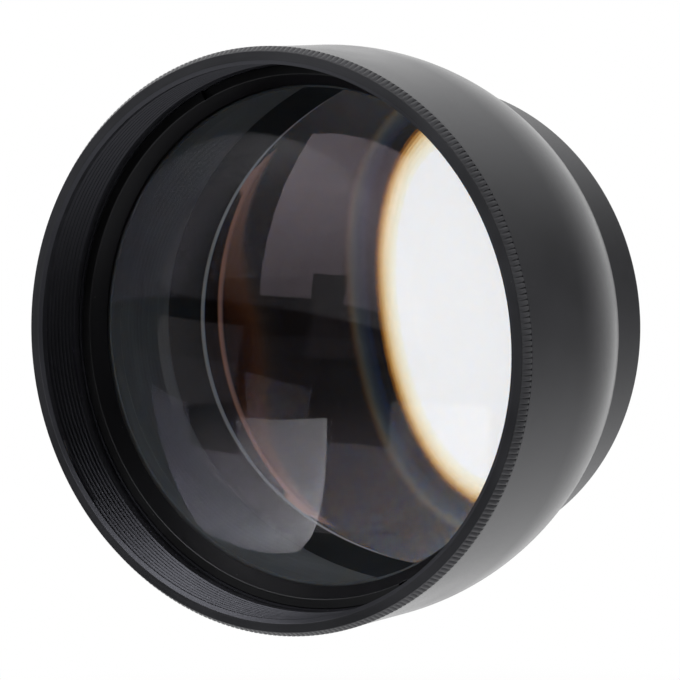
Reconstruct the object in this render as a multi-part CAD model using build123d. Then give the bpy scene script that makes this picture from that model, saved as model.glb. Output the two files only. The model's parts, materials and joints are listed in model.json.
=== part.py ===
"""Telephoto conversion lens: screws onto the front of a camera lens.

The optical axis is Y. The front rim looks towards -Y, the rear thread points to +Y, +Z is up.
The origin lies on the axis, in the plane of the rear seating shoulder.
A station is a distance behind the front rim, and y_at() turns it into a Y coordinate.
All sizes are in millimetres.
"""
import math
import os

from build123d import *

# Driving radii: the rear thread, and how much larger the front thread is
mount_thread_radius = 27.5
thread_radius_gain = 5.65

# Front ring: filter thread inside, straight knurl outside
filter_thread_length = 7.1
mouth_chamfer_depth = 0.8
rim_wall = 1.55              # filter thread to the outside of the rim
rim_land = 0.35              # width of the flat front edge
knurl_start = 0.25
knurl_length = 1.25
knurl_height = 0.57          # crest above the rim's outside
knurl_depth = 0.3
knurl_pitch = 0.676
front_joint_wall = 1.05      # wall of the sleeve that screws into the barrel
front_ring_tail = 0.3        # sleeve behind the end of the filter thread

# Main barrel: plain band, rounded shoulder
band_height = 0.5            # band above the rim's outside
band_length = 12.35
shoulder_length = 14.6
shoulder_fall = 3.03
barrel_wall = 3.6
edge_break = 0.12

# Front group
glass_curve_radius = 53.0
glass_apex_depth = 0.64      # behind the front rim
glass_edge_thickness = 1.075
glass_thread_step = 1.3      # glass rim inside the retaining ring's thread
pocket_clearance = 0.08
washer_thickness = 0.3
washer_width = 1.9
seat_flange_width = 1.1
seat_flange_thickness = 1.35

# Front retaining ring
ring_thread_step = 0.15      # its thread inside the filter thread
ring_thread_clearance = 0.05
ring_setback = 0.5           # face below the end of the filter thread
ring_face_width = 1.15
ring_lip_width = 1.26        # overlap on the glass
slot_width = 1.3
slot_depth = 0.7
slot_angle = 115.8           # from +X towards +Z
contact_gap = 0.02

# Light-trap cone between the groups
trap_wall = 1.2
trap_clearance = 0.1
trap_flange_clearance = 0.05
trap_flange_thickness = 1.0
trap_rear_clearance = 0.3
trap_tail_length = 1.4       # plain cylinder at its rear end
trap_ridges = 5              # low ridges against stray light, on the front of the wall
trap_ridge_pitch = 1.2
trap_ridge_height = 0.12

# Mount ring: the plain ring behind the shoulder, with the rear thread
seat_width = 2.17            # from the thread to the outside of the ring
mount_ring_length = 10.87
mount_edge_chamfer = 0.45
mount_thread_length = 3.3
mount_thread_chamfer = 0.35
mount_thread_wall = 1.5
mount_lip_width = 0.8
mount_lip_thickness = 1.0
rear_joint_step = 0.77       # screwed joint below the outside of the ring
rear_joint_length = 4.1
mount_neck_wall = 1.5

# Rear cell and its cemented pair
cell_wall = 0.9
cell_setback = 0.35
cell_lip_thickness = 2.46
cell_bevel_land = 0.25       # plain bore between the bevel and the glass
pair_thread_step = 0.7       # glass rim inside the rear ring's thread
pair_front_rim_width = 2.9
pair_back_rim_width = 0.8
pair_front_curve = 148.0
pair_joint_curve = 65.0
pair_back_curve = 73.0
negative_thickness = 1.4
positive_thickness = 1.9

# Rear retaining ring
rear_ring_length = 2.97
rear_ring_setback = 0.08     # end face below the end of the rear thread
rear_aperture_lip = 0.8
rear_land_length = 0.45      # narrow land behind the bevel
rear_land_taper = 0.12
rear_slot_width = 1.4
rear_slot_depth = 0.6

# Radii that follow, from the rim inwards
filter_thread_radius = mount_thread_radius + thread_radius_gain
rim_radius = filter_thread_radius + rim_wall
front_joint_radius = filter_thread_radius + front_joint_wall
knurl_crest = rim_radius + knurl_height
knurl_root = knurl_crest - knurl_depth
band_radius = rim_radius + band_height
shoulder_end_radius = band_radius - shoulder_fall
barrel_cavity_radius = band_radius - barrel_wall
ring_thread_radius = filter_thread_radius - ring_thread_step
glass_radius = ring_thread_radius - glass_thread_step
pocket_radius = glass_radius + pocket_clearance
ring_lip_radius = glass_radius - ring_lip_width
seat_flange_radius = glass_radius - seat_flange_width
trap_flange_radius = glass_radius - trap_flange_clearance
trap_front_radius = seat_flange_radius - trap_clearance - trap_wall

# Radii that follow, from the rear thread inwards
mount_ring_radius = mount_thread_radius + seat_width
rear_joint_radius = mount_ring_radius - rear_joint_step
cell_radius = mount_thread_radius - mount_thread_wall
mount_lip_radius = cell_radius - mount_lip_width
trap_rear_radius = mount_lip_radius - trap_rear_clearance - trap_wall
rear_ring_thread_radius = cell_radius - cell_wall
pair_radius = rear_ring_thread_radius - pair_thread_step
pair_front_clear_radius = pair_radius - pair_front_rim_width
pair_back_clear_radius = pair_radius - pair_back_rim_width
rear_aperture_radius = pair_back_clear_radius - rear_aperture_lip


def sag(curve, radius):
    """Depth of a spherical surface of radius curve at a distance radius from its axis."""
    return curve - math.sqrt(curve * curve - radius * radius)


# Stations that follow, from the front rim
knurl_end = knurl_start + knurl_length
band_end = knurl_end + band_length
shoulder_end = band_end + shoulder_length
seat_station = shoulder_end + mount_ring_length
rear_end = seat_station + mount_thread_length
thread_end = mouth_chamfer_depth + filter_thread_length
front_ring_end = thread_end + front_ring_tail
ring_face = thread_end + ring_setback
glass_back = glass_apex_depth + sag(glass_curve_radius, glass_radius) + glass_edge_thickness
flange_front = glass_back + washer_thickness
trap_seat = flange_front + trap_flange_thickness
flange_back = trap_seat + seat_flange_thickness
rear_joint_front = shoulder_end - rear_joint_length

# Stations of the rear pair, stacked forward from the rear retaining ring
rear_ring_end = rear_end - rear_ring_setback
rear_ring_front = rear_ring_end - rear_ring_length
pair_back_flat = rear_ring_front - contact_gap
pair_back_vertex = pair_back_flat - sag(pair_back_curve, pair_back_clear_radius)
pair_joint_vertex = pair_back_vertex - positive_thickness
pair_front_vertex = pair_joint_vertex - negative_thickness
pair_front_flat = pair_front_vertex - sag(pair_front_curve, pair_front_clear_radius)
cell_front = pair_front_flat - cell_lip_thickness


def y_at(station):
    """Y coordinate of a station behind the front rim."""
    return station - seat_station


def outline(points):
    """Closed half section through (radius, station) points joined by straight lines."""
    return Polyline(*[(r, y_at(s)) for r, s in points], close=True)


def turned(points):
    """Solid turned about the optical axis from a half section with straight sides."""
    return revolve(make_face(outline(points)), Axis.Y)


def sphere_arc(curve, vertex, direction, inner, outer):
    """Arc of a spherical face from radius inner to radius outer.

    direction is +1 where the face falls back from its vertex and -1 where it comes forward.
    """
    def point(radius):
        return (radius, y_at(vertex + direction * sag(curve, radius)))
    return ThreePointArc(point(inner), point((inner + outer) / 2), point(outer))


def lens(front_arc, back_arc, corners):
    """Glass turned from a front arc, a back line or arc and the corners between their rims."""
    rim = Polyline(front_arc @ 1, *corners, back_arc @ 1)
    axis_line = Line(back_arc @ 0, front_arc @ 0)
    return revolve(make_face([front_arc, rim, back_arc, axis_line]), Axis.Y)


def spanner_slots(face_station, inner, outer, width, depth):
    """Two opposite slots for a spanner, cut from a ring's face to the given depth."""
    length = outer - inner
    middle = (inner + outer) / 2
    blade = Box(length, 2 * depth, width)
    slots = []
    for turn in (0, 180):
        place = Rot(0, -(slot_angle + turn), 0) * Pos(middle, y_at(face_station), 0)
        slots.append(place * blade)
    return slots


def knurl_teeth(inner_radius):
    """Ring of straight V teeth around the front ring."""
    count = round(2 * math.pi * knurl_crest / knurl_pitch)
    half_pitch = math.pi / count
    corners = []
    for index in range(2 * count):
        radius = knurl_crest if index % 2 == 0 else knurl_root
        angle = index * half_pitch
        corners.append((radius * math.cos(angle), radius * math.sin(angle)))
    face = make_face(Polyline(*corners, close=True)) - Circle(inner_radius)
    plane = Plane(origin=(0, y_at(knurl_end), 0), x_dir=(1, 0, 0), z_dir=(0, -1, 0))
    return extrude(plane * face, knurl_length)


def front_ring():
    body = turned([
        (rim_radius - rim_land, 0),
        (rim_radius, 0),
        (knurl_root, knurl_start),
        (knurl_root, knurl_end),
        (front_joint_radius, knurl_end),
        (front_joint_radius, front_ring_end),
        (filter_thread_radius + front_ring_tail, front_ring_end),
        (filter_thread_radius, thread_end),
        (filter_thread_radius, mouth_chamfer_depth),
    ])
    return body + knurl_teeth(front_joint_radius)


def shoulder_arc():
    """Rounded shoulder: leaves the band without a corner and ends at the mount ring."""
    fall = band_radius - shoulder_end_radius
    radius = (shoulder_length ** 2 + fall ** 2) / (2 * fall)
    half = math.asin(shoulder_length / radius) / 2
    middle = (
        band_radius - radius + radius * math.cos(half),
        y_at(band_end + radius * math.sin(half)),
    )
    return ThreePointArc(
        (band_radius, y_at(band_end)), middle, (shoulder_end_radius, y_at(shoulder_end))
    )


def main_barrel():
    arc = shoulder_arc()
    pocket_front = ring_back_station() + contact_gap
    inside = [
        (shoulder_end_radius, shoulder_end),
        (rear_joint_radius, shoulder_end),
        (rear_joint_radius, rear_joint_front - edge_break),
        (barrel_cavity_radius, rear_joint_front - edge_break),
        (barrel_cavity_radius, flange_back),
        (seat_flange_radius, flange_back),
        (seat_flange_radius, trap_seat),
        (pocket_radius, trap_seat),
        (pocket_radius, pocket_front),
        (ring_thread_radius, pocket_front),
        (ring_thread_radius, front_ring_end + contact_gap),
        (front_joint_radius, front_ring_end + contact_gap),
        (front_joint_radius, knurl_end),
        (band_radius - edge_break, knurl_end),
        (band_radius, knurl_end + edge_break),
        (band_radius, band_end),
    ]
    lines = Polyline(*[(r, y_at(s)) for r, s in inside])
    return revolve(make_face([arc, lines]), Axis.Y)


def ring_lip():
    """Station where the retaining ring touches the glass, and the slope of the glass there."""
    slope = ring_lip_radius / math.sqrt(glass_curve_radius ** 2 - ring_lip_radius ** 2)
    return glass_apex_depth + sag(glass_curve_radius, ring_lip_radius) - contact_gap, slope


def ring_back_station():
    lip, slope = ring_lip()
    return lip + slope * (pocket_radius - ring_lip_radius)


def front_retaining_ring():
    lip = ring_lip()[0]
    outer = ring_thread_radius - ring_thread_clearance
    back = ring_back_station()
    ring = turned([
        (outer, ring_face),
        (outer, back),
        (pocket_radius, back),
        (ring_lip_radius, lip),
        (outer - ring_face_width, ring_face),
    ])
    for slot in spanner_slots(
        ring_face, outer - ring_face_width, outer + slot_width, slot_width, slot_depth
    ):
        ring -= slot
    return ring


def front_element():
    front = sphere_arc(glass_curve_radius, glass_apex_depth, 1, 0, glass_radius)
    back = Line((0, y_at(glass_back)), (glass_radius, y_at(glass_back)))
    return lens(front, back, [])


def cushion_washer():
    return turned([
        (glass_radius - washer_width, glass_back),
        (glass_radius, glass_back),
        (glass_radius, flange_front),
        (glass_radius - washer_width, flange_front),
    ])


def light_trap():
    """Cone between the groups, held under the front glass; low ridges keep stray light down."""
    rear = cell_front - contact_gap
    slope = (trap_front_radius - trap_rear_radius) / (rear - trap_seat)
    inside = [(trap_front_radius, flange_front), (trap_front_radius, trap_seat)]
    for ridge in range(1, trap_ridges + 1):
        distance = ridge * trap_ridge_pitch
        radius = trap_front_radius - slope * distance
        inside.append((radius - trap_ridge_height, trap_seat + distance))
        inside.append((radius, trap_seat + distance))
    inside.append((trap_rear_radius, rear))
    outside = [
        (trap_rear_radius + trap_wall, rear),
        (trap_rear_radius + trap_wall, rear - trap_tail_length),
        (trap_front_radius + trap_wall, trap_seat),
        (trap_flange_radius, trap_seat),
        (trap_flange_radius, flange_front),
    ]
    return turned(inside + outside)


def mount_ring():
    lip_front = cell_front - mount_lip_thickness
    return turned([
        (mount_ring_radius, shoulder_end),
        (mount_ring_radius, seat_station - mount_edge_chamfer),
        (mount_ring_radius - mount_edge_chamfer, seat_station),
        (mount_thread_radius, seat_station),
        (mount_thread_radius, rear_end - mount_thread_chamfer),
        (mount_thread_radius - mount_thread_chamfer, rear_end),
        (cell_radius, rear_end),
        (cell_radius, cell_front),
        (mount_lip_radius, cell_front),
        (mount_lip_radius, lip_front),
        (rear_joint_radius - mount_neck_wall, lip_front),
        (rear_joint_radius - mount_neck_wall, rear_joint_front),
        (rear_joint_radius, rear_joint_front),
        (rear_joint_radius, shoulder_end),
    ])


def rear_cell():
    """Tube that carries the pair; the bevel of its front lip carries on the light trap's cone."""
    pair_pocket_radius = pair_radius + pocket_clearance
    cell_end = rear_end - cell_setback
    return turned([
        (trap_rear_radius, cell_front),
        (cell_radius, cell_front),
        (cell_radius, cell_end),
        (rear_ring_thread_radius, cell_end),
        (rear_ring_thread_radius, pair_back_flat),
        (pair_pocket_radius, pair_back_flat),
        (pair_pocket_radius, pair_front_flat),
        (pair_front_clear_radius, pair_front_flat),
        (pair_front_clear_radius, pair_front_flat - cell_bevel_land),
    ])


def negative_element():
    front = sphere_arc(pair_front_curve, pair_front_vertex, -1, 0, pair_front_clear_radius)
    back = sphere_arc(pair_joint_curve, pair_joint_vertex, 1, 0, pair_radius)
    return lens(front, back, [(pair_radius, y_at(pair_front_flat))])


def positive_element():
    front = sphere_arc(pair_joint_curve, pair_joint_vertex, 1, 0, pair_radius)
    back = sphere_arc(pair_back_curve, pair_back_vertex, 1, 0, pair_back_clear_radius)
    return lens(front, back, [(pair_radius, y_at(pair_back_flat))])


def rear_retaining_ring():
    outer = rear_ring_thread_radius - ring_thread_clearance
    ring = turned([
        (pair_back_clear_radius, rear_ring_front),
        (outer, rear_ring_front),
        (outer, rear_ring_end),
        (rear_aperture_radius, rear_ring_end),
        (rear_aperture_radius + rear_land_taper, rear_ring_end - rear_land_length),
    ])
    slot_bottom = (outer + rear_aperture_radius) / 2
    for slot in spanner_slots(
        rear_ring_end, slot_bottom, outer + rear_slot_width, rear_slot_width, rear_slot_depth
    ):
        ring -= slot
    return ring


parts = {
    "front_ring": front_ring(),
    "main_barrel": main_barrel(),
    "front_retaining_ring": front_retaining_ring(),
    "front_element": front_element(),
    "cushion_washer": cushion_washer(),
    "light_trap": light_trap(),
    "mount_ring": mount_ring(),
    "rear_cell": rear_cell(),
    "negative_element": negative_element(),
    "positive_element": positive_element(),
    "rear_retaining_ring": rear_retaining_ring(),
}

os.makedirs("parts", exist_ok=True)
for name, shape in parts.items():
    export_step(shape, f"parts/{name}.step")
    print(f"{name}: {shape.volume:.1f} mm3")
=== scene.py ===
import json
import math

import bmesh
import bpy
from mathutils import Matrix, Vector

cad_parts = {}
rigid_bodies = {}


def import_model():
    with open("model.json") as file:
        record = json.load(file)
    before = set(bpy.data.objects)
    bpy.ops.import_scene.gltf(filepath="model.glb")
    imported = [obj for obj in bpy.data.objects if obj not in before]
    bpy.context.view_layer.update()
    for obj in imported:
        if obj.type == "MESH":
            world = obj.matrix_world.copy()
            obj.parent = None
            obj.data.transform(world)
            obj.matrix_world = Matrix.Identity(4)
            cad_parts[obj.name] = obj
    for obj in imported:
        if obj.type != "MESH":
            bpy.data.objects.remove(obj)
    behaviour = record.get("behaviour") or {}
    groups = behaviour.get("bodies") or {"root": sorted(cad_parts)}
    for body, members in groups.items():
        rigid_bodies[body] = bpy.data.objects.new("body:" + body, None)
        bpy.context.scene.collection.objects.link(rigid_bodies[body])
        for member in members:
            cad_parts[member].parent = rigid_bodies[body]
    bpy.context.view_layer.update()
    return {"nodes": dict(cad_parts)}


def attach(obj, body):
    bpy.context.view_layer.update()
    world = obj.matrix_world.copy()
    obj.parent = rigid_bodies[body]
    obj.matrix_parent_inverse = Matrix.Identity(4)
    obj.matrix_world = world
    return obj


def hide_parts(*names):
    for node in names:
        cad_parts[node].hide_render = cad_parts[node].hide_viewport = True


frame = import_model()
print("frame loaded:", len(frame["nodes"]), "nodes")

mm = 0.001
perMetre = 1000.0              # turns a count per millimetre into one per metre
seatStation = 39.32            # station of the row's origin, in the rear seat's plane
fullTurn = 2 * math.pi
sharpAngle = math.radians(58)  # sharper corners keep their crease
weldDistance, thinEdge = 2e-8, 1e-8  # metres, for the seams of threads
highlightAttribute = "edgeWear"         # vertex attribute: 1 on edges painted with a highlight
mirrorOnce = 0.5               # a ray of less glossy depth hasn't met a mirror yet

# Outlines are lists of (radius, station, softening); a corner with softening 0 stays as it is.
# Of a softened corner: the most of a side that it takes, how far its middle is drawn in, how long a side
# is that gets one more row, where that row stands, and the painted highlight beside the corner's middle
softening = dict(mostOfSide=0.4, drawnIn=0.25, longSide=3.2, extraRow=1.5, sideShine=0.35)
crestShine = 0.5                # painted highlight on the crests of threads and teeth


def soften(outline, closed=True):
    rows = []
    count = len(outline)
    for index, (radius, station, size) in enumerate(outline):
        if size == 0 or (not closed and index in (0, count - 1)):
            rows.append((radius, station, 0.0))
            continue
        here = Vector((radius, station))
        before = Vector(outline[index - 1][:2]) - here
        after = Vector(outline[(index + 1) % count][:2]) - here
        most = softening["mostOfSide"]
        cut = min(size, most * before.length, most * after.length)
        into, away = before.normalized(), after.normalized()
        middle = here + (into + away) * cut * softening["drawnIn"]
        if before.length > softening["longSide"] * cut:
            rows.append((*(here + into * cut * softening["extraRow"]), 0.0))
        # a painted highlight, full at the corner's middle and weaker beside it
        rows.append((*(here + into * cut), softening["sideShine"]))
        rows.append((*middle, 1.0))
        rows.append((*(here + away * cut), softening["sideShine"]))
        if after.length > softening["longSide"] * cut:
            rows.append((*(here + away * cut * softening["extraRow"]), 0.0))
    return rows


def arcRows(curve, vertex, direction, inner, outer, count):
    # rows along a spherical face, from radius inner to radius outer
    rows = []
    for step in range(count + 1):
        radius = inner + (outer - inner) * step / count
        depth = curve - math.sqrt(curve * curve - radius * radius)
        rows.append((radius, vertex + direction * depth, 0.0))
    return rows


def screwRows(radius, start, pitch, turns, depth, fadeTurns, fractions, offsets):
    # rows of a helical thread, each a function of the share of a turn gone round. Fractions say where the
    # profile's corners stand in a pitch, and offsets how deep they lie
    def fade(height):
        ends = min(height, turns - height) / fadeTurns
        ends = max(0.0, min(1.0, ends))
        return ends * ends * (3 - 2 * ends)

    def row(base, share, offset, kind):
        def at(part):
            if kind == "lead-in":
                return (radius, start + pitch * part * share, 0.0)
            if kind == "run-out":
                return (radius, start + pitch * (turns + part + (1 - part) * share), 0.0)
            strength = fade(base + part)
            # the crests get a painted highlight
            paintedShine = crestShine * strength if offset == 0 else 0.0
            return (radius + depth * offset * strength, start + pitch * (base + part + share), paintedShine)
        return at

    rows = [row(0, share, 0, "lead-in") for share in fractions]
    for base in range(turns):
        rows += [row(base, share, offset, "thread") for share, offset in zip(fractions, offsets)]
    rows += [row(turns, share, 0, "run-out") for share in (*fractions, 1.0)]
    return rows


def turnPiece(name, rows, closed=True, columns=256, teeth=None, places=(0.0,)):
    # rows become rings round the Y axis; teeth(row index, column) gives a change of radius and a painted
    # highlight, and places says where the columns of one tooth stand, as shares of its width
    screwed = any(callable(row) for row in rows)
    mesh = bmesh.new()
    highlightLayer = mesh.verts.layers.float.new(highlightAttribute)
    across = columns + 1 if screwed else columns
    rings = []
    for rowIndex, row in enumerate(rows):
        ring = []
        for column in range(across):
            part = (column // len(places) + places[column % len(places)]) * len(places) / columns
            radius, station, paintedShine = row(part) if callable(row) else row
            if teeth is not None:
                change, toothShine = teeth(rowIndex, column)
                radius += change
                paintedShine = max(paintedShine, toothShine)
            angle = fullTurn * part
            place = (radius * mm * math.cos(angle), (station - seatStation) * mm,
                     radius * mm * math.sin(angle))
            vert = mesh.verts.new(place)
            vert[highlightLayer] = paintedShine
            ring.append(vert)
            if radius == 0:
                ring = [vert] * across
                break
        rings.append(ring)
    pairs = list(zip(rings, rings[1:]))
    if closed:
        pairs.append((rings[-1], rings[0]))
    for near, far in pairs:
        for column in range(columns):
            nextColumn = column + 1 if screwed else (column + 1) % columns
            corners = [near[column], near[nextColumn], far[nextColumn], far[column]]
            corners = list(dict.fromkeys(corners))
            if len(corners) > 2:
                mesh.faces.new(corners)
    if screwed:
        bmesh.ops.remove_doubles(mesh, verts=mesh.verts, dist=weldDistance)
        bmesh.ops.dissolve_degenerate(mesh, edges=mesh.edges, dist=thinEdge)
    bmesh.ops.recalc_face_normals(mesh, faces=mesh.faces)
    data = bpy.data.meshes.new(name)
    mesh.to_mesh(data)
    mesh.free()
    return showMesh(name, data)


def addObject(name, data):
    item = bpy.data.objects.new(name, data)
    bpy.context.scene.collection.objects.link(item)
    return item


def showMesh(name, data):
    data.shade_smooth()
    data.set_sharp_from_angle(angle=sharpAngle)
    return addObject(name, data)


def cutSlots(piece, inner, outer, width, faceStation, depth, angle):
    # two opposite spanner slots through a ring's face
    name = piece.name
    for part in (0, 180):
        mesh = bmesh.new()
        bmesh.ops.create_cube(mesh, size=1.0)
        shape = Matrix.Diagonal(((outer - inner) * mm, 2 * depth * mm, width * mm, 1.0))
        move = Matrix.Translation(((inner + outer) / 2 * mm, (faceStation - seatStation) * mm, 0))
        aside = Matrix.Rotation(math.radians(-(angle + part)), 4, "Y")
        bmesh.ops.transform(mesh, matrix=aside @ move @ shape, verts=mesh.verts)
        data = bpy.data.meshes.new("slotBlade")
        mesh.to_mesh(data)
        mesh.free()
        cut = piece.modifiers.new("slot", "BOOLEAN")
        cut.operation, cut.solver, cut.object = "DIFFERENCE", "EXACT", addObject("slotBlade", data)
    graph = bpy.context.evaluated_depsgraph_get()
    cutMesh = bpy.data.meshes.new_from_object(piece.evaluated_get(graph))
    for other in [o for o in bpy.data.objects if o.name.startswith("slotBlade")]:
        bpy.data.objects.remove(other)
    bpy.data.objects.remove(piece)
    cutMesh.name = name
    return showMesh(name, cutMesh)


def inkEdges(piece, frontFrom, backFrom, middleStation):
    # material 0 on the front face, 1 on the back face, 2 on the blackened rim
    for face in piece.data.polygons:
        x, y, z = face.center / mm
        behind = y + seatStation > middleStation
        rim = math.hypot(x, z) > (backFrom if behind else frontFrom)
        face.material_index = 2 if rim else int(behind)
    return piece


def paintFaces(piece, *zones):
    # each zone is a material index with the radii and the stations between which its faces lie
    for face in piece.data.polygons:
        x, y, z = face.center / mm
        radius, station = math.hypot(x, z), y + seatStation
        for index, nearest, farthest, start, end in zones:
            if nearest <= radius <= farthest and start <= station <= end:
                face.material_index = index
    return piece


def finishPiece(piece, names, slot, *nodes):
    # the faces take the named materials by their index
    kept = [face.material_index for face in piece.data.polygons]
    piece.data.materials.clear()
    for name in names:
        piece.data.materials.append(materials[name])
    piece.data.polygons.foreach_set("material_index", kept)
    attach(piece, "root")
    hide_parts(*nodes)


# Helpers for materials and their nodes
def newMaterial(name):
    material = bpy.data.materials.new(name)
    material.use_nodes = True
    tree = material.node_tree
    return material, tree, tree.nodes["Principled BSDF"]


def makeNode(tree, kind, **settings):
    node = tree.nodes.new(kind)
    for key, value in settings.items():
        if hasattr(node, key):
            setattr(node, key, value)
        else:
            node.inputs[key].default_value = value
    return node


def mathNode(tree, operation, first, second=None, third=None):
    node = tree.nodes.new("ShaderNodeMath")
    node.operation = operation
    for socket, value in zip(node.inputs, (first, second, third)):
        if value is None:
            continue
        if isinstance(value, (int, float)):
            socket.default_value = value
        else:
            tree.links.new(value, socket)
    return node.outputs[0]


def newGroup(name, inputs, outputs):
    group = bpy.data.node_groups.new(name, "ShaderNodeTree")
    for label, value in inputs.items():
        socket = group.interface.new_socket(label, in_out="INPUT", socket_type="NodeSocketFloat")
        socket.default_value = value
    for label in outputs:
        group.interface.new_socket(label, in_out="OUTPUT", socket_type="NodeSocketFloat")
    return group, group.nodes.new("NodeGroupInput"), group.nodes.new("NodeGroupOutput")


# Marks of the lathe: how much the radius counts beside the length, how often a line fades on its way round,
# and the slow change of tone
turning = dict(radiusShare=-0.6, fades=1.5, detail=3.0, roughness=0.6, grainDetail=2.0, toneShare=0.6,
               patchScale=90.0)


def buildTurnedGroup():
    # fine marks of the lathe, which run round the axis, and the soft grain of the anodising
    d = turning
    group, given, result = newGroup(
        "turnedMarks",
        {"Lines per mm": 9.0, "Line Strength": 0.5, "Grain per mm": 10.0, "Grain Strength": 0.3},
        ("Height", "Tone"),
    )
    links = group.links
    where = makeNode(group, "ShaderNodeTexCoord")
    split = makeNode(group, "ShaderNodeSeparateXYZ")
    links.new(where.outputs["Object"], split.inputs[0])
    across, along, up = split.outputs
    radius = mathNode(group, "SQRT", mathNode(
        group, "MULTIPLY_ADD", across, across, mathNode(group, "MULTIPLY", up, up)))
    # a coordinate that changes on cylinders, faces and cones alike
    travel = mathNode(group, "MULTIPLY_ADD", radius, d["radiusShare"], along)
    travel = mathNode(group, "MULTIPLY", travel, mathNode(group, "MULTIPLY", given.outputs[0], perMetre))
    unitX = mathNode(group, "DIVIDE", across, radius)
    unitZ = mathNode(group, "DIVIDE", up, radius)
    ringPlace = makeNode(group, "ShaderNodeCombineXYZ")
    links.new(mathNode(group, "MULTIPLY", unitX, d["fades"]), ringPlace.inputs[0])
    links.new(travel, ringPlace.inputs[1])
    links.new(mathNode(group, "MULTIPLY", unitZ, d["fades"]), ringPlace.inputs[2])
    lines = makeNode(group, "ShaderNodeTexNoise", Scale=1.0, Detail=d["detail"], Roughness=d["roughness"])
    links.new(ringPlace.outputs[0], lines.inputs["Vector"])
    grain = makeNode(group, "ShaderNodeTexNoise", Detail=d["grainDetail"], Roughness=d["roughness"])
    links.new(where.outputs["Object"], grain.inputs["Vector"])
    links.new(mathNode(group, "MULTIPLY", given.outputs[2], perMetre), grain.inputs["Scale"])
    lineValue = mathNode(group, "SUBTRACT", lines.outputs["Fac"], 0.5)
    grainValue = mathNode(group, "SUBTRACT", grain.outputs["Fac"], 0.5)
    summed = mathNode(group, "MULTIPLY", lineValue, given.outputs[1])
    summed = mathNode(group, "MULTIPLY_ADD", grainValue, given.outputs[3], summed)
    links.new(mathNode(group, "ADD", summed, 0.5), result.inputs["Height"])
    patches = makeNode(group, "ShaderNodeTexNoise", Scale=d["patchScale"], Detail=d["detail"])
    links.new(where.outputs["Object"], patches.inputs["Vector"])
    tone = mathNode(group, "MULTIPLY_ADD", summed, d["toneShare"], patches.outputs["Fac"])
    links.new(tone, result.inputs["Tone"])
    return group


# Painted edge highlight: the noise values between which it sets in, and how narrow it keeps to the edge
edgeHighlightNoise = dict(detail=4.0, roughness=0.65, breakFrom=0.3, breakTo=0.65, narrow=1.6)


def buildHighlightGroup():
    # edges painted a little brighter, a painted highlight broken up by noise
    d = edgeHighlightNoise
    group, given, result = newGroup("edgeRub", {"Amount": 0.5, "Breakup per mm": 1.2}, ("Mask",))
    edgeLight = makeNode(group, "ShaderNodeAttribute", attribute_name=highlightAttribute)
    where = makeNode(group, "ShaderNodeTexCoord")
    noise = makeNode(group, "ShaderNodeTexNoise", Detail=d["detail"], Roughness=d["roughness"])
    group.links.new(where.outputs["Object"], noise.inputs["Vector"])
    group.links.new(mathNode(group, "MULTIPLY", given.outputs[1], perMetre), noise.inputs["Scale"])
    broken = makeNode(group, "ShaderNodeMapRange")
    group.links.new(noise.outputs["Fac"], broken.inputs["Value"])
    broken.inputs["From Min"].default_value = d["breakFrom"]
    broken.inputs["From Max"].default_value = d["breakTo"]
    narrow = mathNode(group, "POWER", edgeLight.outputs["Fac"], d["narrow"])
    mask = mathNode(group, "MULTIPLY", mathNode(group, "MULTIPLY", narrow, broken.outputs[0]),
                    given.outputs[0])
    group.links.new(mask, result.inputs["Mask"])
    return group


# Dust: the size of a speck in its cell, and the value above which a cell has one
specks = dict(size=0.07, rareness=0.82)


def buildDustGroup():
    # sparse small specks
    group, given, result = newGroup("dustSpecks", {"Amount": 0.5, "Specks per mm": 0.9}, ("Mask",))
    where = makeNode(group, "ShaderNodeTexCoord")
    cells = makeNode(group, "ShaderNodeTexVoronoi", feature="F1")
    group.links.new(where.outputs["Object"], cells.inputs["Vector"])
    group.links.new(mathNode(group, "MULTIPLY", given.outputs[1], perMetre), cells.inputs["Scale"])
    near = mathNode(group, "LESS_THAN", cells.outputs["Distance"], specks["size"])
    colour = makeNode(group, "ShaderNodeSeparateColor")
    group.links.new(cells.outputs["Color"], colour.inputs[0])
    chosen = mathNode(group, "GREATER_THAN", colour.outputs[0], specks["rareness"])
    mask = mathNode(group, "MULTIPLY", mathNode(group, "MULTIPLY", near, chosen), given.outputs[0])
    group.links.new(mask, result.inputs["Mask"])
    return group


turnedGroup = buildTurnedGroup()
highlightGroup = buildHighlightGroup()
dustGroup = buildDustGroup()

# What finishes share unless they say otherwise: turning lines and grain per mm and their strengths, the
# bump, the painted highlight on edges and crests, dust, the reflection, and how far the tone shades the
# colour
common = dict(lines=7.0, lineStrength=0.6, grain=12.0, grainStrength=0.5, bump=0.1, bumpDistance=0.02,
              edge=0.0, edgeLight=(0.5, 0.5, 0.5), dust=0.0, dustColour=(0.25, 0.25, 0.24), specular=0.5,
              tint=(0.94, 0.95, 1.0), toneFrom=0.3, toneTo=0.75, darkShade=0.75, lightShade=1.25)
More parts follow.
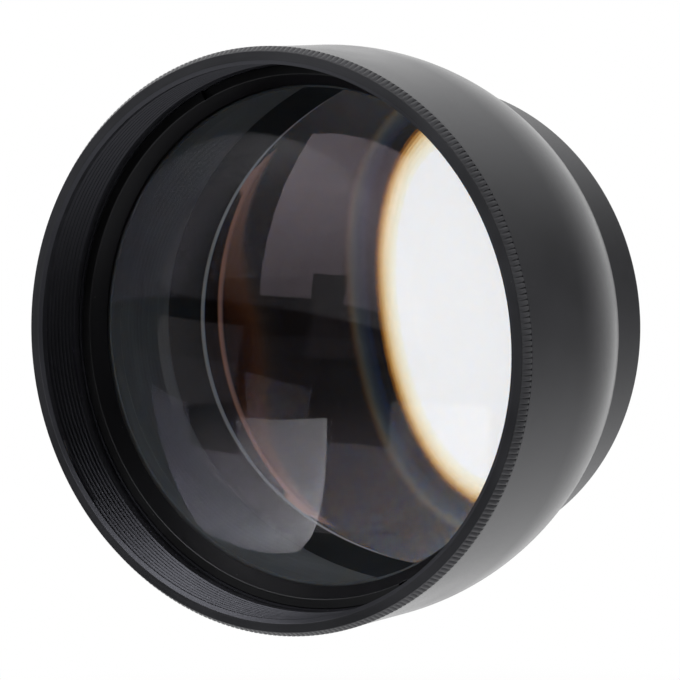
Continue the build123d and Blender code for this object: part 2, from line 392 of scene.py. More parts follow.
# Each has its colour, its roughness from smooth to rough places, and what differs
finishes = {
    "blackAnodised": dict(colour=(0.03, 0.0302, 0.036), rough=(0.17, 0.27), lines=11.0,
                          lineStrength=0.35, grain=11.0, edge=0.45, edgeLight=(0.09, 0.09, 0.095), dust=0.25,
                          specular=0.62),
    "threadBlack": dict(colour=(0.028, 0.0285, 0.033), rough=(0.33, 0.42), grainStrength=0.25, bump=0.08,
                        edge=0.05, edgeLight=(0.05, 0.05, 0.055), dust=0.1, specular=0.6,
                        tint=(0.86, 0.87, 1.0)),
    "crestBlack": dict(colour=(0.050, 0.051, 0.057), rough=(0.6, 0.75), lineStrength=0.5,
                       grainStrength=0.3, bump=0.08, edge=0.05, edgeLight=(0.08, 0.08, 0.085), specular=0.0),
    "landBlack": dict(colour=(0.0205, 0.0208, 0.024), rough=(0.3, 0.4), lineStrength=0.9,
                      grainStrength=0.25, bump=0.14, edge=0.12, edgeLight=(0.08, 0.076, 0.076), dust=0.15),
    "knurlBlack": dict(colour=(0.085, 0.085, 0.092), rough=(0.3, 0.4), lineStrength=0.5,
                       grainStrength=0.4, bump=0.14, edge=0.5, edgeLight=(0.12, 0.12, 0.125), dust=0.3),
    "retainerBlack": dict(colour=(0.005, 0.005, 0.0055), rough=(0.38, 0.50), lines=9.0, lineStrength=0.7,
                          grainStrength=0.3, bump=0.12, edge=0.1, edgeLight=(0.04, 0.04, 0.045), dust=0.25),
    "trapBlack": dict(colour=(0.050, 0.055, 0.059), rough=(0.75, 0.9), lines=4.0, lineStrength=0.8,
                      grain=9.0, bump=0.2, edge=0.2, edgeLight=(0.06, 0.06, 0.062), specular=0.05),
    "cellBlack": dict(colour=(0.008, 0.009, 0.010), rough=(0.40, 0.50), lines=6.0, grain=9.0,
                      grainStrength=0.4, edge=0.1, edgeLight=(0.03, 0.03, 0.032), specular=0.05),
    "edgeInk": dict(colour=(0.006, 0.006, 0.006), rough=(0.7, 0.8), lineStrength=0.0, grain=10.0,
                    specular=0.0),
    # bare land, lighter and blue-grey, which also paints in a highlight
    "bareEdge": dict(colour=(0.11, 0.13, 0.145), rough=(0.45, 0.6), lines=9.0, grainStrength=0.3),
    "ringBlack": dict(colour=(0.008, 0.008, 0.009), rough=(0.5, 0.65), lines=8.0, grain=9.0,
                      grainStrength=0.4, bump=0.12, edge=0.2, edgeLight=(0.03, 0.03, 0.032), dust=0.1,
                      specular=0.12),
    # painted highlight: a light grey line on the rear ring's cone
    "scribedLine": dict(colour=(0.28, 0.28, 0.30), rough=(0.45, 0.6), lines=9.0, grainStrength=0.3),
    "rimVarnish": dict(colour=(0.022, 0.013, 0.011), rough=(0.6, 0.75), lines=3.0, lineStrength=0.5,
                       grain=10.0, specular=0.0),
    # painted reflection: an orange line on the rear ring's cone
    "warmEdge": dict(colour=(0.31, 0.145, 0.10), rough=(0.5, 0.65), lines=3.0, lineStrength=0.3,
                     grain=10.0),
    "washerBlack": dict(colour=(0.012, 0.012, 0.012), rough=(0.7, 0.8), lineStrength=0.0, grain=16.0,
                        grainStrength=0.8, bump=0.2),
}


def metalMaterial(name):
    finish = {**common, **finishes[name]}
    material, tree, shader = newMaterial(name)
    shader.inputs["Specular IOR Level"].default_value = finish["specular"]
    shader.inputs["Specular Tint"].default_value = (*finish["tint"], 1)
    marks = makeNode(tree, "ShaderNodeGroup", node_tree=turnedGroup)
    for socket, value in zip(marks.inputs, (finish["lines"], finish["lineStrength"],
                                            finish["grain"], finish["grainStrength"])):
        socket.default_value = value
    highlightMask = makeNode(tree, "ShaderNodeGroup", node_tree=highlightGroup)
    highlightMask.inputs["Amount"].default_value = finish["edge"]
    dust = makeNode(tree, "ShaderNodeGroup", node_tree=dustGroup)
    dust.inputs["Amount"].default_value = finish["dust"]

    tone = makeNode(tree, "ShaderNodeMapRange")
    tone.inputs["From Min"].default_value = finish["toneFrom"]
    tone.inputs["From Max"].default_value = finish["toneTo"]
    tree.links.new(marks.outputs["Tone"], tone.inputs["Value"])
    shades = makeNode(tree, "ShaderNodeMix", data_type="RGBA")
    shades.inputs[6].default_value = (*[finish["darkShade"] * c for c in finish["colour"]], 1)
    shades.inputs[7].default_value = (*[finish["lightShade"] * c for c in finish["colour"]], 1)
    tree.links.new(tone.outputs[0], shades.inputs[0])
    # edges and crests take a lighter colour: a painted highlight
    edgeLight = makeNode(tree, "ShaderNodeMix", data_type="RGBA")
    edgeLight.inputs[7].default_value = (*finish["edgeLight"], 1)
    tree.links.new(shades.outputs[2], edgeLight.inputs[6])
    tree.links.new(highlightMask.outputs["Mask"], edgeLight.inputs[0])
    dusty = makeNode(tree, "ShaderNodeMix", data_type="RGBA")
    dusty.inputs[7].default_value = (*finish["dustColour"], 1)
    tree.links.new(edgeLight.outputs[2], dusty.inputs[6])
    tree.links.new(dust.outputs["Mask"], dusty.inputs[0])
    tree.links.new(dusty.outputs[2], shader.inputs["Base Color"])

    rough = makeNode(tree, "ShaderNodeMapRange")
    rough.inputs["From Min"].default_value = finish["toneFrom"]
    rough.inputs["From Max"].default_value = finish["toneTo"]
    rough.inputs["To Min"].default_value, rough.inputs["To Max"].default_value = finish["rough"]
    tree.links.new(marks.outputs["Tone"], rough.inputs["Value"])
    tree.links.new(rough.outputs[0], shader.inputs["Roughness"])
    bump = makeNode(tree, "ShaderNodeBump")
    bump.inputs["Strength"].default_value = finish["bump"]
    bump.inputs["Distance"].default_value = finish["bumpDistance"] * mm
    tree.links.new(marks.outputs["Height"], bump.inputs["Height"])
    tree.links.new(bump.outputs[0], shader.inputs["Normal"])
    return material


# Coatings: tint scales the reflection. Spread is how far the refractive index runs from red to blue
glassLooks = {
    "frontCoating": dict(tint=(0.25, 0.20, 0.235), ior=1.6),
    "backCoating": dict(tint=(0.127, 0.114, 0.167), ior=1.603, spread=0.013),
    "rearCoating": dict(tint=(0.108, 0.099, 0.120), ior=1.6),
}
# Shares of red, green and blue light in eight steps of the spectrum, from red to blue. Their sums are
# over 1, because a coated face lets more light through than a bare one
spectrum = ((0.12, 0.04, 0.00), (0.27, 0.16, 0.05), (0.26, 0.22, 0.13), (0.17, 0.22, 0.19),
            (0.09, 0.14, 0.18), (0.06, 0.11, 0.14), (0.02, 0.07, 0.13), (0.01, 0.04, 0.18))
coatingGain = (1.08, 1.09, 1.125)


def setGlass(shader, colour, ior, tint):
    shader.inputs["Base Color"].default_value = (*colour, 1)
    shader.inputs["Roughness"].default_value = 0.0
    shader.inputs["IOR"].default_value = ior
    shader.inputs["Transmission Weight"].default_value = 1.0
    shader.inputs["Specular Tint"].default_value = (*tint, 1)


def spreadColours(tree, look):
    # light that leaves the glass splits into colours; the mirror part keeps the coating's tint
    rays = None
    for index, share in enumerate(spectrum):
        part = tree.nodes.new("ShaderNodeBsdfPrincipled")
        ior = look["ior"] + look["spread"] * (index / (len(spectrum) - 1) - 0.5)
        # light that passes takes the square root of the base colour
        colour = [(value * gain) ** 2 for value, gain in zip(share, coatingGain)]
        setGlass(part, colour, ior, (0, 0, 0))
        if rays is None:
            rays = part.outputs[0]
            continue
        both = makeNode(tree, "ShaderNodeAddShader")
        tree.links.new(rays, both.inputs[0])
        tree.links.new(part.outputs[0], both.inputs[1])
        rays = both.outputs[0]
    mirror = makeNode(tree, "ShaderNodeBsdfGlossy", Roughness=0.0, Color=(*look["tint"], 1))
    fresnel = makeNode(tree, "ShaderNodeFresnel", IOR=look["ior"])
    mixed = makeNode(tree, "ShaderNodeMixShader")
    tree.links.new(fresnel.outputs[0], mixed.inputs[0])
    tree.links.new(rays, mixed.inputs[1])
    tree.links.new(mirror.outputs[0], mixed.inputs[2])
    return mixed.outputs[0]


def glassMaterial(name):
    look = glassLooks[name]
    material, tree, shader = newMaterial(name)
    setGlass(shader, (1, 1, 1), look["ior"], look["tint"])
    surface = shader.outputs[0]
    if "spread" in look:
        side = makeNode(tree, "ShaderNodeNewGeometry")
        leaving = makeNode(tree, "ShaderNodeMixShader")
        tree.links.new(side.outputs["Backfacing"], leaving.inputs[0])
        tree.links.new(surface, leaving.inputs[1])
        tree.links.new(spreadColours(tree, look), leaving.inputs[2])
        surface = leaving.outputs[0]
    # lamps reach what is behind the glass
    clear = makeNode(tree, "ShaderNodeBsdfTransparent")
    path = makeNode(tree, "ShaderNodeLightPath")
    mixed = makeNode(tree, "ShaderNodeMixShader")
    tree.links.new(path.outputs["Is Shadow Ray"], mixed.inputs[0])
    tree.links.new(surface, mixed.inputs[1])
    tree.links.new(clear.outputs[0], mixed.inputs[2])
    tree.links.new(mixed.outputs[0], tree.nodes["Material Output"].inputs[0])
    return material


materials = {name: metalMaterial(name) for name in finishes}
materials.update({name: glassMaterial(name) for name in glassLooks})
print("materials made")

# Thread profiles: where the corners stand in one pitch, and whether they lie on the crest or at the root
innerFractions, innerOffsets = (0.0, 0.19, 0.52, 0.6875), (0, 0, 1, 1)
outerFractions, outerOffsets = (0.0, 0.125, 0.4375, 0.6875), (0, 0, -1, -1)

# Front ring: flat front edge (the land), knurl and the female filter thread. The knurl rises from its start
# to its full height. ToothPlaces are shares of a tooth's width, and threadFrom says where the thread
# starts, in degrees from +X towards +Z
frontRing = dict(rim=34.70, landInner=33.62, landSoft=0.12, mouthSoft=0.05, edgeBack=0.12, knurlRoot=35.02,
                 knurlCrest=35.27, knurlStart=0.16, knurlFull=1.00, knurlBack=1.40, knurlStep=0.04,
                 knurlEnd=1.5, startRoot=34.64, startCrest=34.76, teeth=328, toothPlaces=(0.0, 0.55, 0.775),
                 sleeve=34.2, end=8.2, bore=33.15, boreStep=0.3, chamferEnd=0.27, threadEnd=7.9, pitch=0.75,
                 threadDepth=0.40, turns=8, threadStart=0.29, threadFrom=200, fadeTurns=0.06,
                 crestMargin=0.02)


def buildFrontRing():
    d = frontRing
    land = soften([(d["landInner"], 0.0, 0), (d["rim"], 0.0, d["landSoft"]), (d["rim"], d["edgeBack"], 0)],
                  closed=False)[1:]
    # each knurl row is the root's radius, the crest's radius and the station
    knurl = [(d["startRoot"], d["startCrest"], d["knurlStart"]),
             (d["knurlRoot"], d["knurlCrest"], d["knurlFull"]),
             (d["knurlRoot"], d["knurlCrest"], d["knurlBack"]),
             (d["knurlRoot"], d["knurlRoot"], d["knurlBack"] + d["knurlStep"])]
    crests = {len(land) + index: crest - root for index, (root, crest, station) in enumerate(knurl)}
    outside = land + [(root, station, 0.0) for root, crest, station in knurl]
    sleeve = [(d["sleeve"], d["knurlEnd"], 0.0), (d["sleeve"], d["end"], 0.0),
              (d["bore"] + d["boreStep"], d["end"], 0.0), (d["bore"], d["threadEnd"], 0.0)]
    thread = screwRows(d["bore"], d["threadStart"], d["pitch"], d["turns"], d["threadDepth"],
                       d["fadeTurns"], innerFractions, innerOffsets)
    mouth = soften([(d["bore"], d["chamferEnd"], 0), (d["landInner"], 0.0, d["mouthSoft"]),
                    (d["rim"], 0.0, 0)], closed=False)[:-1]
    rows = outside + sleeve + thread[::-1] + mouth

    perTooth = len(d["toothPlaces"])

    def teeth(rowIndex, column):
        # two columns of each tooth stand on its crest, and the third lies in the groove; the crests get a
        # painted highlight
        if rowIndex in crests and column % perTooth < 2:
            return crests[rowIndex], crestShine if crests[rowIndex] else 0.0
        return 0.0, 0.0

    piece = turnPiece("front_ring_piece", rows, columns=perTooth * d["teeth"], teeth=teeth,
                      places=d["toothPlaces"])
    piece.data.transform(Matrix.Rotation(-math.radians(d["threadFrom"]), 4, "Y"))
    # the land, the knurl and the thread's flat crests have finishes of their own
    lowest, highest = d["bore"] - d["crestMargin"], d["bore"] + d["crestMargin"]
    return paintFaces(piece, (1, d["landInner"], d["rim"], 0.0, d["edgeBack"]),
                      (2, d["startRoot"], d["knurlCrest"], d["edgeBack"], d["knurlEnd"]),
                      (3, lowest, highest, d["chamferEnd"], d["end"]))


finishPiece(buildFrontRing(), ("threadBlack", "landBlack", "knurlBlack", "crestBlack"),
            "front_ring_black", "front_ring")
print("front ring made")

# Main barrel: plain band and rounded shoulder outside, seats and joints inside
barrel = dict(band=35.2, bandStart=1.5, bandEnd=13.85, shoulderEnd=28.45, endRadius=32.17, cavity=31.6,
              rearJoint=28.9, jointFront=24.35, flangeFront=13.54, flangeBack=14.89, flangeRadius=30.6,
              pocket=31.78, pocketFront=11.19, ringThread=33.0, frontJoint=34.2, jointEnd=8.22,
              soft=0.12, creaseSoft=0.16, flangeSoft=0.06, pocketSoft=0.05, jointGap=0.12,
              shoulderSteps=28, columns=384)


def buildBarrel():
    d = barrel
    fall, length = d["band"] - d["endRadius"], d["shoulderEnd"] - d["bandEnd"]
    curve = (length * length + fall * fall) / (2 * fall)
    cavityEnd = d["jointFront"] - d["jointGap"]
    shoulder = []
    for step in range(1, d["shoulderSteps"]):
        angle = math.asin(length / curve) * step / d["shoulderSteps"]
        shoulder.append((d["band"] - curve * (1 - math.cos(angle)),
                         d["bandEnd"] + curve * math.sin(angle), 0))
    outline = [(d["band"], d["bandStart"], d["soft"]), (d["band"], d["bandEnd"], 0), *shoulder,
               (d["endRadius"], d["shoulderEnd"], d["creaseSoft"]),
               (d["rearJoint"], d["shoulderEnd"], 0), (d["rearJoint"], cavityEnd, 0),
               (d["cavity"], cavityEnd, 0), (d["cavity"], d["flangeBack"], 0),
               (d["flangeRadius"], d["flangeBack"], d["flangeSoft"]),
               (d["flangeRadius"], d["flangeFront"], d["flangeSoft"]),
               (d["pocket"], d["flangeFront"], 0), (d["pocket"], d["pocketFront"], d["pocketSoft"]),
               (d["ringThread"], d["pocketFront"], 0), (d["ringThread"], d["jointEnd"], 0),
               (d["frontJoint"], d["jointEnd"], 0), (d["frontJoint"], d["bandStart"], 0)]
    return turnPiece("main_barrel_piece", soften(outline), columns=d["columns"])


finishPiece(buildBarrel(), ("blackAnodised",), "barrel_black", "main_barrel")
print("barrel made")

# Front retaining ring with its two spanner slots
retainer = dict(outer=32.95, face=8.4, faceInner=31.8, lip=30.44, lipStation=10.23, pocket=31.78,
                back=11.17, slotWidth=1.3, slotDepth=0.7, slotAngle=115.8, soft=0.07, lipSoft=0.05,
                columns=320)


def buildRetainer():
    d = retainer
    outline = [(d["outer"], d["face"], d["soft"]), (d["outer"], d["back"], 0), (d["pocket"], d["back"], 0),
               (d["lip"], d["lipStation"], d["lipSoft"]), (d["faceInner"], d["face"], d["soft"])]
    ring = turnPiece("front_retaining_ring_piece", soften(outline), columns=d["columns"])
    return cutSlots(ring, d["faceInner"], d["outer"] + d["slotWidth"], d["slotWidth"], d["face"],
                    d["slotDepth"], d["slotAngle"])


finishPiece(buildRetainer(), ("retainerBlack",), "ring_black", "front_retaining_ring")
print("retaining ring made")

# Front glass: its rim is blackened from these radii outwards
frontLens = dict(curve=53.0, apex=0.64, radius=31.7, back=12.24, chamfer=0.12, inkFrom=31.5,
                 inkFromBack=30.9, middle=11.6, curveSteps=72, columns=288,
                 backRings=(31.0, 26.0, 20.0, 14.0, 8.0, 3.0, 0.0))


def buildFrontGlass():
    d = frontLens
    front = arcRows(d["curve"], d["apex"], 1, 0.0, d["radius"] - d["chamfer"], d["curveSteps"])
    edge = front[-1][1]
    rows = front + [(d["radius"], edge + d["chamfer"], 0.0), (d["radius"], d["back"] - d["chamfer"], 0.0),
                    (d["radius"] - d["chamfer"], d["back"], 0.0)]
    rows += [(radius, d["back"], 0.0) for radius in d["backRings"]]
    piece = turnPiece("front_element_piece", rows, closed=False, columns=d["columns"])
    return inkEdges(piece, d["inkFrom"], d["inkFromBack"], d["middle"])


finishPiece(buildFrontGlass(), ("frontCoating", "backCoating", "edgeInk"), "coated_glass",
            "front_element")
print("front glass made")

# Washer behind the front glass
washer = dict(inner=29.8, outer=31.7, front=12.24, back=12.54, soft=0.04, columns=192)


def buildWasher():
    d = washer
    outline = [(d["inner"], d["front"], d["soft"]), (d["outer"], d["front"], d["soft"]),
               (d["outer"], d["back"], d["soft"]), (d["inner"], d["back"], d["soft"])]
    return turnPiece("cushion_washer_piece", soften(outline), columns=d["columns"])


finishPiece(buildWasher(), ("washerBlack",), "washer_black", "cushion_washer")

# Light-trap cone between the groups
trap = dict(frontRadius=29.3, rearRadius=23.7, front=12.54, seat=13.54, rear=28.28, wall=1.2, tail=1.4,
            flange=31.65, ridges=5, ridgePitch=1.2, ridgeHeight=0.12, mouthSoft=0.04, soft=0.05)


def buildTrap():
    d = trap
    slope = (d["frontRadius"] - d["rearRadius"]) / (d["rear"] - d["seat"])
    outline = [(d["frontRadius"], d["front"], d["mouthSoft"]), (d["frontRadius"], d["seat"], 0)]
    for ridge in range(1, d["ridges"] + 1):
        distance = ridge * d["ridgePitch"]
        radius = d["frontRadius"] - slope * distance
        outline.append((radius - d["ridgeHeight"], d["seat"] + distance, 0))
        outline.append((radius, d["seat"] + distance, 0))
    outline += [(d["rearRadius"], d["rear"], d["soft"]),
                (d["rearRadius"] + d["wall"], d["rear"], d["soft"]),
                (d["rearRadius"] + d["wall"], d["rear"] - d["tail"], 0),
                (d["frontRadius"] + d["wall"], d["seat"], 0), (d["flange"], d["seat"], d["soft"]),
                (d["flange"], d["front"], d["soft"])]
    return turnPiece("light_trap_piece", soften(outline))


finishPiece(buildTrap(), ("trapBlack",), "trap_black", "light_trap")
print("light trap made")

# Mount ring with the male rear thread, which starts behind a relief groove
mount = dict(outer=29.67, front=28.45, seat=39.32, chamfer=0.45, thread=27.5, end=42.62,
             threadChamfer=0.35, cell=26.0, cellFront=28.30, lip=25.2, lipFront=27.30, joint=28.9,
             neck=27.4, jointFront=24.35, pitch=0.75, threadDepth=0.42, turns=2, threadStart=39.75,
             fadeTurns=0.7, relief=0.25, reliefLength=0.2, threadGap=0.02, soft=0.08, seatSoft=0.12,
             threadSoft=0.06, endSoft=0.1, columns=384)


def buildMountRing():
    d = mount
    groove = d["thread"] - d["relief"]
    front = soften([
        (d["joint"], d["front"], 0), (d["outer"], d["front"], d["soft"]),
        (d["outer"], d["seat"] - d["chamfer"], d["seatSoft"]),
        (d["outer"] - d["chamfer"], d["seat"], d["soft"]),
        (groove, d["seat"], 0), (groove, d["seat"] + d["reliefLength"], 0),
        (d["thread"], d["threadStart"] - d["threadGap"], 0),
    ], closed=False)
    thread = screwRows(d["thread"], d["threadStart"], d["pitch"], d["turns"], d["threadDepth"],
                       d["fadeTurns"], outerFractions, outerOffsets)
    rear = soften([
        (d["thread"], d["end"] - d["threadChamfer"], 0),
        (d["thread"] - d["threadChamfer"], d["end"], d["threadSoft"]),
        (d["cell"], d["end"], d["endSoft"]), (d["cell"], d["cellFront"], 0),
        (d["lip"], d["cellFront"], 0), (d["lip"], d["lipFront"], 0), (d["neck"], d["lipFront"], 0),
        (d["neck"], d["jointFront"], 0), (d["joint"], d["jointFront"], 0),
    ], closed=False)
    return turnPiece("mount_ring_piece", front + thread + rear, columns=d["columns"])


finishPiece(buildMountRing(), ("blackAnodised",), "barrel_black", "mount_ring")
print("mount ring made")

# Rear cell: tube with a bevelled front lip
cell = dict(outer=26.0, front=28.30, end=42.27, mouth=23.7, lip=21.5, flat=30.76, land=0.65,
            pocket=24.48, thread=25.1, pairBack=39.55, lipSoft=0.05, endSoft=0.1, threadSoft=0.08,
            landMargin=0.1)


def buildCell():
    d = cell
    outline = [(d["mouth"], d["front"], d["lipSoft"]), (d["outer"], d["front"], 0),
               (d["outer"], d["end"], d["endSoft"]), (d["thread"], d["end"], d["threadSoft"]),
               (d["thread"], d["pairBack"], 0),
               (d["pocket"], d["pairBack"], 0), (d["pocket"], d["flat"], 0), (d["lip"], d["flat"], 0),
               (d["lip"], d["flat"] - d["land"], d["lipSoft"])]
    piece = turnPiece("rear_cell_piece", soften(outline))
    # the land that holds the pair is left bare, and its lighter blue-grey colour also paints in a highlight
    return paintFaces(piece, (1, d["lip"] - d["landMargin"], d["lip"] + d["landMargin"],
                              d["flat"] - d["land"], d["flat"]))


finishPiece(buildCell(), ("cellBlack", "bareEdge"), "ring_black", "rear_cell")

# Cemented pair: one closed body of glass, because the cement leaves no visible face inside
pair = dict(radius=24.4, frontCurve=148.0, frontVertex=32.33, frontClear=21.5, backCurve=73.0,
            backVertex=35.63, backClear=23.6, chamfer=0.1, middle=34.0, curveSteps=56, columns=288)


def buildPair():
    d = pair
    front = arcRows(d["frontCurve"], d["frontVertex"], -1, 0.0, d["frontClear"], d["curveSteps"])
    flat = front[-1][1]
    back = arcRows(d["backCurve"], d["backVertex"], 1, 0.0, d["backClear"], d["curveSteps"])
    backFlat = back[-1][1]
    rows = front + [(d["radius"] - d["chamfer"], flat, 0.0), (d["radius"], flat + d["chamfer"], 0.0),
                    (d["radius"], backFlat - d["chamfer"], 0.0), (d["radius"] - d["chamfer"], backFlat, 0.0)]
    rows += back[::-1]
    piece = turnPiece("rear_pair", rows, closed=False, columns=d["columns"])
    return inkEdges(piece, d["frontClear"], d["backClear"], d["middle"])


finishPiece(buildPair(), ("rearCoating", "rearCoating", "rimVarnish"), "coated_glass",
            "negative_element", "positive_element")
print("cemented pair made")

# Rear retaining ring; its lines are the stations between which the cone has a painted grey highlight and a
# painted orange reflection
rearRing = dict(outer=25.05, front=39.57, end=42.54, glassEdge=23.6, aperture=22.8, land=0.45,
                taper=0.12, lines=((41.63, 41.76), (39.585, 39.72)), slotWidth=1.4, slotDepth=0.6,
                slotAngle=115.8, soft=0.06, edgeSoft=0.03)


def buildRearRing():
    d = rearRing
    landFront = d["end"] - d["land"]
    slope = (d["glassEdge"] - d["aperture"] - d["taper"]) / (landFront - d["front"])
    # the painted lines lie in the cone in front of the land
    cuts = [(d["aperture"] + d["taper"] + slope * (landFront - station), station, 0)
            for line in d["lines"] for station in reversed(line)]
    outline = [(d["glassEdge"], d["front"], 0), (d["outer"], d["front"], 0),
               (d["outer"], d["end"], d["soft"]), (d["aperture"], d["end"], d["edgeSoft"]),
               (d["aperture"] + d["taper"], landFront, 0), *cuts]
    ring = turnPiece("rear_retaining_ring_piece", soften(outline))
    middle = (d["outer"] + d["aperture"]) / 2
    ring = cutSlots(ring, middle, d["outer"] + d["slotWidth"], d["slotWidth"], d["end"],
                    d["slotDepth"], d["slotAngle"])
    # the first line is painted light grey as a highlight, the second orange as a reflection
    return paintFaces(ring, *[(index + 1, d["aperture"], d["glassEdge"], *line)
                              for index, line in enumerate(d["lines"])])


finishPiece(buildRearRing(), ("ringBlack", "scribedLine", "warmEdge"), "ring_black",
            "rear_retaining_ring")
print("rear rings made")

# Camera, as fitted to the photograph
viewpoint = dict(azimuth=31.83, elevation=5.43, focal=211.76, sensor=36.0,
                 rimOffset=(-8.664, 0.400, 475.68), clip=(0.01, 50))


def buildCamera():
    d = viewpoint
    az, el = math.radians(d["azimuth"]), math.radians(d["elevation"])
    right = Vector((math.cos(az), math.sin(az), 0))
    ahead = Vector((-math.sin(az) * math.cos(el), math.cos(az) * math.cos(el), -math.sin(el)))
    up = right.cross(ahead)
    offX, offY, offZ = d["rimOffset"]
    rimCentre = Vector((0, -seatStation, 0))
    place = (rimCentre - (right * offX - up * offY + ahead * offZ)) * mm
    lens = bpy.data.cameras.new("photoCamera")
    lens.lens, lens.sensor_width = d["focal"], d["sensor"]
    lens.clip_start, lens.clip_end = d["clip"]
    camera = addObject("photoCamera", lens)
    turned = Matrix((right, up, -ahead)).transposed()
    camera.matrix_world = Matrix.Translation(place) @ turned.to_4x4()
    bpy.context.scene.camera = camera


buildCamera()

# Room, as the object sees it: one brightness for each direction from the object. Numbers in pairs say where
# along an axis of the direction a patch of light fades in and where it is full
room = dict(front=0.02, rear=1.0, frontY=-0.1, rearY=0.55, darkSide=(0.50, 0.85, 0.15), darkDepth=0.8,
            darkWidth=0.40, wall=0.25, wallFrom=0.74, wallTo=0.90, horizon=(0.03, 0.05), near=0.8,
            nearFrom=0.45, nearTo=0.80, ahead=0.75, aheadTop=(-0.28, -0.50), aheadFront=(-0.3, -0.6))
standPatch = dict(level=0.28, left=(-0.36, -0.33), right=(0.15, 0.12), low=(-0.15, -0.14),
                  high=(0.24, 0.23), front=(-0.3, -0.5))
sidePatch = dict(level=0.35, left=(-0.96, -0.95), right=(-0.64, -0.66), low=(-0.32, -0.30),
                 high=(-0.03, -0.04), front=(0.0, -0.1))


def ramp(tree, value, start, end, low, high):
    node = makeNode(tree, "ShaderNodeMapRange", interpolation_type="SMOOTHSTEP")
    tree.links.new(value, node.inputs[0])
    for socket, number in zip(node.inputs[1:5], (start, end, low, high)):
        socket.default_value = number
    return node.outputs[0]


def litPatch(group, axes, patch):
    x, y, z = axes
    level = ramp(group, x, *patch["left"], 0.0, patch["level"])
    for axis, edge in ((x, "right"), (z, "low"), (z, "high"), (y, "front")):
        level = mathNode(group, "MULTIPLY", level, ramp(group, axis, *patch[edge], 0.0, 1.0))
    return level


def buildRoomGroup():
    d = room
    group = bpy.data.node_groups.new("roomView", "ShaderNodeTree")
    group.interface.new_socket("Direction", in_out="INPUT", socket_type="NodeSocketVector")
    group.interface.new_socket("Level", in_out="OUTPUT", socket_type="NodeSocketFloat")
    given, result = group.nodes.new("NodeGroupInput"), group.nodes.new("NodeGroupOutput")
    unit = makeNode(group, "ShaderNodeVectorMath", operation="NORMALIZE")
    group.links.new(given.outputs[0], unit.inputs[0])
    split = makeNode(group, "ShaderNodeSeparateXYZ")
    group.links.new(unit.outputs[0], split.inputs[0])
    x, y, z = split.outputs
    rearward = ramp(group, y, d["frontY"], d["rearY"], d["front"], d["rear"])
    # the unlit side of the room, behind on the right
    facing = makeNode(group, "ShaderNodeVectorMath", operation="DOT_PRODUCT")
    group.links.new(unit.outputs[0], facing.inputs[0])
    facing.inputs[1].default_value = Vector(d["darkSide"]).normalized()
    away = mathNode(group, "SUBTRACT", 1.0, facing.outputs["Value"])
    fall = mathNode(group, "EXPONENT", mathNode(group, "DIVIDE", away, -d["darkWidth"] ** 2))
    dimmed = mathNode(group, "MULTIPLY_ADD", fall, -d["darkDepth"], 1.0)
    level = mathNode(group, "MULTIPLY", rearward, dimmed)
    # the dim wall on the left, above the horizon
    wall = ramp(group, x, -d["wallFrom"], -d["wallTo"], 0.0, d["wall"])
    wall = mathNode(group, "MULTIPLY", wall, ramp(group, z, *d["horizon"], 0.0, 1.0))
    # the lit floor close by
    near = ramp(group, z, -d["nearFrom"], -d["nearTo"], 0.0, d["near"])
    # a grey patch in front, and the floor seen at the left
    stand = litPatch(group, split.outputs, standPatch)
    side = litPatch(group, split.outputs, sidePatch)
    # the lit floor before the object
    ahead = ramp(group, z, *d["aheadTop"], 0.0, d["ahead"])
    ahead = mathNode(group, "MULTIPLY", ahead, ramp(group, y, *d["aheadFront"], 0.0, 1.0))
    for other in (wall, near, stand, side, ahead):
        level = mathNode(group, "MAXIMUM", level, other)
    group.links.new(level, result.inputs[0])
    return group


roomGroup = buildRoomGroup()

# Floor: pale, white to the camera, and it keeps the soft shadow
floorLook = dict(height=-0.080, half=3.0, colour=(0.86, 0.86, 0.87), glow=0.6, shadowNear=0.10,
                 shadowFar=0.22, frontEdge=-0.455, frontDark=-0.485, sideEdge=-0.05, sideDark=-0.09,
                 mirrored=1.0, mirroredSide=0.2, roughness=0.9)


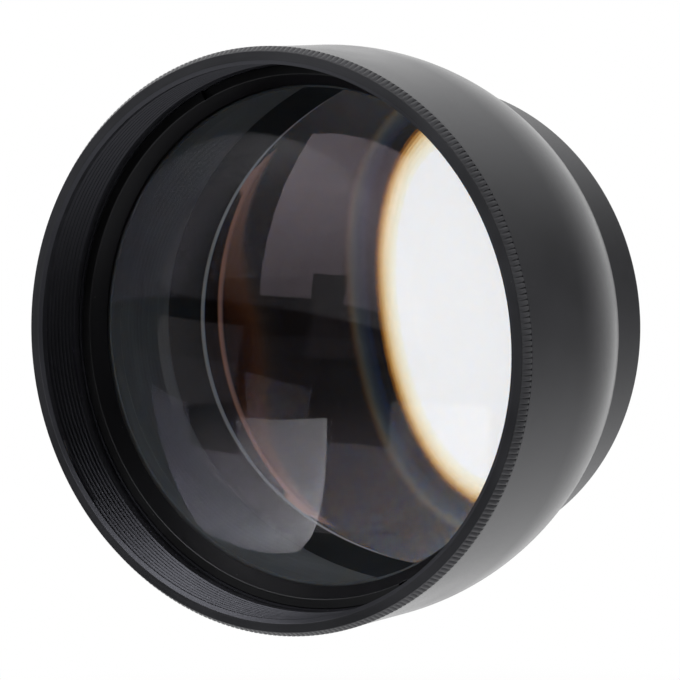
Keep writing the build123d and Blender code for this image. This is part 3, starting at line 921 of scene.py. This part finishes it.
def buildFloor():
    d = floorLook
    h = d["half"]
    data = bpy.data.meshes.new("floor")
    corners = [(-h, -h, d["height"]), (h, -h, d["height"]), (h, h, d["height"]), (-h, h, d["height"])]
    data.from_pydata(corners, [], [(0, 1, 2, 3)])
    floor = addObject("floor", data)
    material, tree, shader = newMaterial("paleFloor")
    shader.inputs["Base Color"].default_value = (*d["colour"], 1)
    shader.inputs["Roughness"].default_value = d["roughness"]
    shader.inputs["Specular IOR Level"].default_value = 0.0
    path = makeNode(tree, "ShaderNodeLightPath")
    seen = mathNode(tree, "MAXIMUM", path.outputs["Is Camera Ray"], path.outputs["Is Transmission Ray"])
    where = makeNode(tree, "ShaderNodeTexCoord")
    # the shadow is kept near the object and fades out away from it
    distance = makeNode(tree, "ShaderNodeVectorMath", operation="LENGTH")
    tree.links.new(where.outputs["Object"], distance.inputs[0])
    spread = ramp(tree, distance.outputs["Value"], d["shadowNear"], d["shadowFar"], d["glow"], 1.0)
    glow = makeNode(tree, "ShaderNodeEmission")
    # the lenses mirror a pale table whose front edge lies before dark space
    place = makeNode(tree, "ShaderNodeSeparateXYZ")
    tree.links.new(where.outputs["Object"], place.inputs[0])
    across, along = place.outputs["X"], place.outputs["Y"]
    table = mathNode(
        tree, "MULTIPLY",
        ramp(tree, across, d["sideDark"], d["sideEdge"], d["mirroredSide"], d["mirrored"]),
        ramp(tree, along, d["frontDark"], d["frontEdge"], room["front"], 1.0))
    straight = mathNode(tree, "LESS_THAN", path.outputs["Glossy Depth"], mirrorOnce)
    tree.links.new(mathNode(tree, "MAXIMUM", straight, table), glow.inputs["Strength"])
    mixed = makeNode(tree, "ShaderNodeMixShader")
    tree.links.new(mathNode(tree, "MULTIPLY", seen, spread), mixed.inputs[0])
    tree.links.new(shader.outputs[0], mixed.inputs[1])
    tree.links.new(glow.outputs[0], mixed.inputs[2])
    # reflections in the object see the floor as they see the room
    view = makeNode(tree, "ShaderNodeGroup", node_tree=roomGroup)
    tree.links.new(where.outputs["Object"], view.inputs[0])
    mirrored = makeNode(tree, "ShaderNodeEmission")
    tree.links.new(view.outputs[0], mirrored.inputs["Strength"])
    whole = makeNode(tree, "ShaderNodeMixShader")
    glossy = mathNode(tree, "MULTIPLY", path.outputs["Is Glossy Ray"],
                      mathNode(tree, "SUBTRACT", 1.0, path.outputs["Is Transmission Ray"]))
    tree.links.new(glossy, whole.inputs[0])
    tree.links.new(mixed.outputs[0], whole.inputs[1])
    tree.links.new(mirrored.outputs[0], whole.inputs[2])
    tree.links.new(whole.outputs[0], tree.nodes["Material Output"].inputs[0])
    data.materials.append(material)


buildFloor()

# Softbox: a lit panel. Its corners are given as azimuth from -Y towards +X, and elevation
softbox = dict(distance=0.9, middle=(-19, 25), radiance=5.0, height=0.75,
               levels=((0.05, 0.34), (0.26, 0.46), (0.45, 0.68), (0.66, 1.0), (0.92, 0.75)),
               corners=((-35.4, 5.4), (-19.5, 6.0), (-19.3, 12.0), (-8.8, 12.5), (-10.0, 5.3), (0.6, 3.7),
                        (1.5, 46.0), (-39.0, 45.7)))


def towards(azimuth, elevation):
    az, el = math.radians(azimuth), math.radians(elevation)
    return Vector((math.sin(az) * math.cos(el), -math.cos(az) * math.cos(el), math.sin(el)))


def buildSoftbox():
    d = softbox
    middle = towards(*d["middle"])
    corners = []
    for corner in d["corners"]:
        ahead = towards(*corner)
        corners.append(ahead * d["distance"] / ahead.dot(middle))
    data = bpy.data.meshes.new("softbox")
    data.from_pydata(corners, [], [tuple(range(len(corners)))])
    panel = addObject("softbox", data)
    panel.visible_camera = False
    material, tree, shader = newMaterial("softboxCloth")
    tree.nodes.remove(shader)
    glow = makeNode(tree, "ShaderNodeEmission", Strength=d["radiance"])
    # brightest a little above its middle
    where = makeNode(tree, "ShaderNodeTexCoord")
    split = makeNode(tree, "ShaderNodeSeparateXYZ")
    tree.links.new(where.outputs["Object"], split.inputs[0])
    levels = makeNode(tree, "ShaderNodeValToRGB")
    tree.links.new(mathNode(tree, "DIVIDE", split.outputs["Z"], d["height"]), levels.inputs[0])
    stops = levels.color_ramp.elements
    while len(stops) < len(d["levels"]):
        stops.new(0.5)
    for stop, (place, level) in zip(stops, d["levels"]):
        stop.position, stop.color = place, (level, level, level, 1)
    tree.links.new(levels.outputs[0], glow.inputs["Color"])
    tree.links.new(glow.outputs[0], tree.nodes["Material Output"].inputs[0])
    data.materials.append(material)


buildSoftbox()

# World: white to the camera and through clear glass, the room's levels for every other ray
def buildWorld():
    world = bpy.data.worlds.new("studio")
    bpy.context.scene.world = world
    world.use_nodes = True
    tree = world.node_tree
    background = tree.nodes["Background"]
    where = makeNode(tree, "ShaderNodeTexCoord")
    view = makeNode(tree, "ShaderNodeGroup", node_tree=roomGroup)
    tree.links.new(where.outputs["Generated"], view.inputs[0])
    path = makeNode(tree, "ShaderNodeLightPath")
    straight = mathNode(tree, "LESS_THAN", path.outputs["Glossy Depth"], mirrorOnce)
    through = mathNode(tree, "MULTIPLY", path.outputs["Is Transmission Ray"], straight)
    white = mathNode(tree, "MAXIMUM", path.outputs["Is Camera Ray"], through)
    mix = makeNode(tree, "ShaderNodeMix", data_type="RGBA")
    tree.links.new(white, mix.inputs[0])
    tree.links.new(view.outputs[0], mix.inputs[6])
    mix.inputs[7].default_value = (1, 1, 1, 1)
    tree.links.new(mix.outputs[2], background.inputs[0])
    background.inputs["Strength"].default_value = 1.0


buildWorld()
bpy.context.scene.view_settings.view_transform = "Standard"
bpy.context.scene.cycles.sampling_pattern = "TABULATED_SOBOL"
print("camera, floor, lamps and room made")
